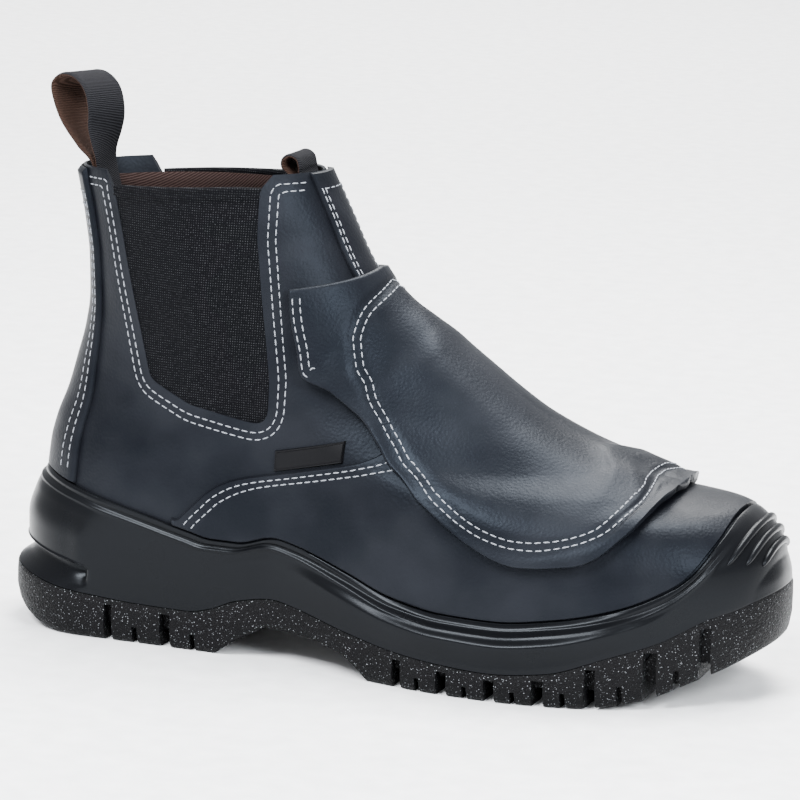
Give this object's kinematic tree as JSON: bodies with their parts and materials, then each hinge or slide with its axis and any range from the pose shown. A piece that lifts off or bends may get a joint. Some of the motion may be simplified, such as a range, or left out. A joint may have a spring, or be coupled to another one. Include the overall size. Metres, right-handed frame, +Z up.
{
  "type": "metatarsal guard boot",
  "caption": "Ankle-high pull-on safety boot for the right foot: leather upper with elastic side gores, a padded guard over the instep and a lugged cup sole.",
  "frame": {"origin": "on the floor, under the middle of the boot's box", "axes": "+X from heel to toe, +Y to the inner (medial) side of the foot, +Z up"},
  "size_m": [0.303, 0.1164, 0.2107],
  "materials": {
    "upper": "satin full-grain leather",
    "vamp": "satin full-grain leather",
    "back_stay": "satin full-grain leather",
    "front_strip": "satin full-grain leather",
    "metatarsal_guard": "satin leather over a padded shell",
    "gore_lateral": "woven elastic",
    "gore_medial": "woven elastic",
    "gore_band_lateral": "folded elastic band",
    "gore_band_medial": "folded elastic band",
    "heel_pull_loop": "woven webbing",
    "front_pull_loop": "woven webbing",
    "side_label": "plain moulded label",
    "cup_sole": "satin foamed polyurethane",
    "outsole": "matt speckled rubber",
    "insole": "brown textile"
  },
  "bodies": {
    "root": {"upper": "upper", "vamp": "vamp", "back_stay": "back_stay", "front_strip": "front_strip", "metatarsal_guard": "metatarsal_guard", "gore_lateral": "gore_lateral", "gore_medial": "gore_medial", "gore_band_lateral": "gore_band_lateral", "gore_band_medial": "gore_band_medial", "heel_pull_loop": "heel_pull_loop", "front_pull_loop": "front_pull_loop", "side_label": "side_label", "cup_sole": "cup_sole", "outsole": "outsole", "insole": "insole"}
  },
  "joints": []
}
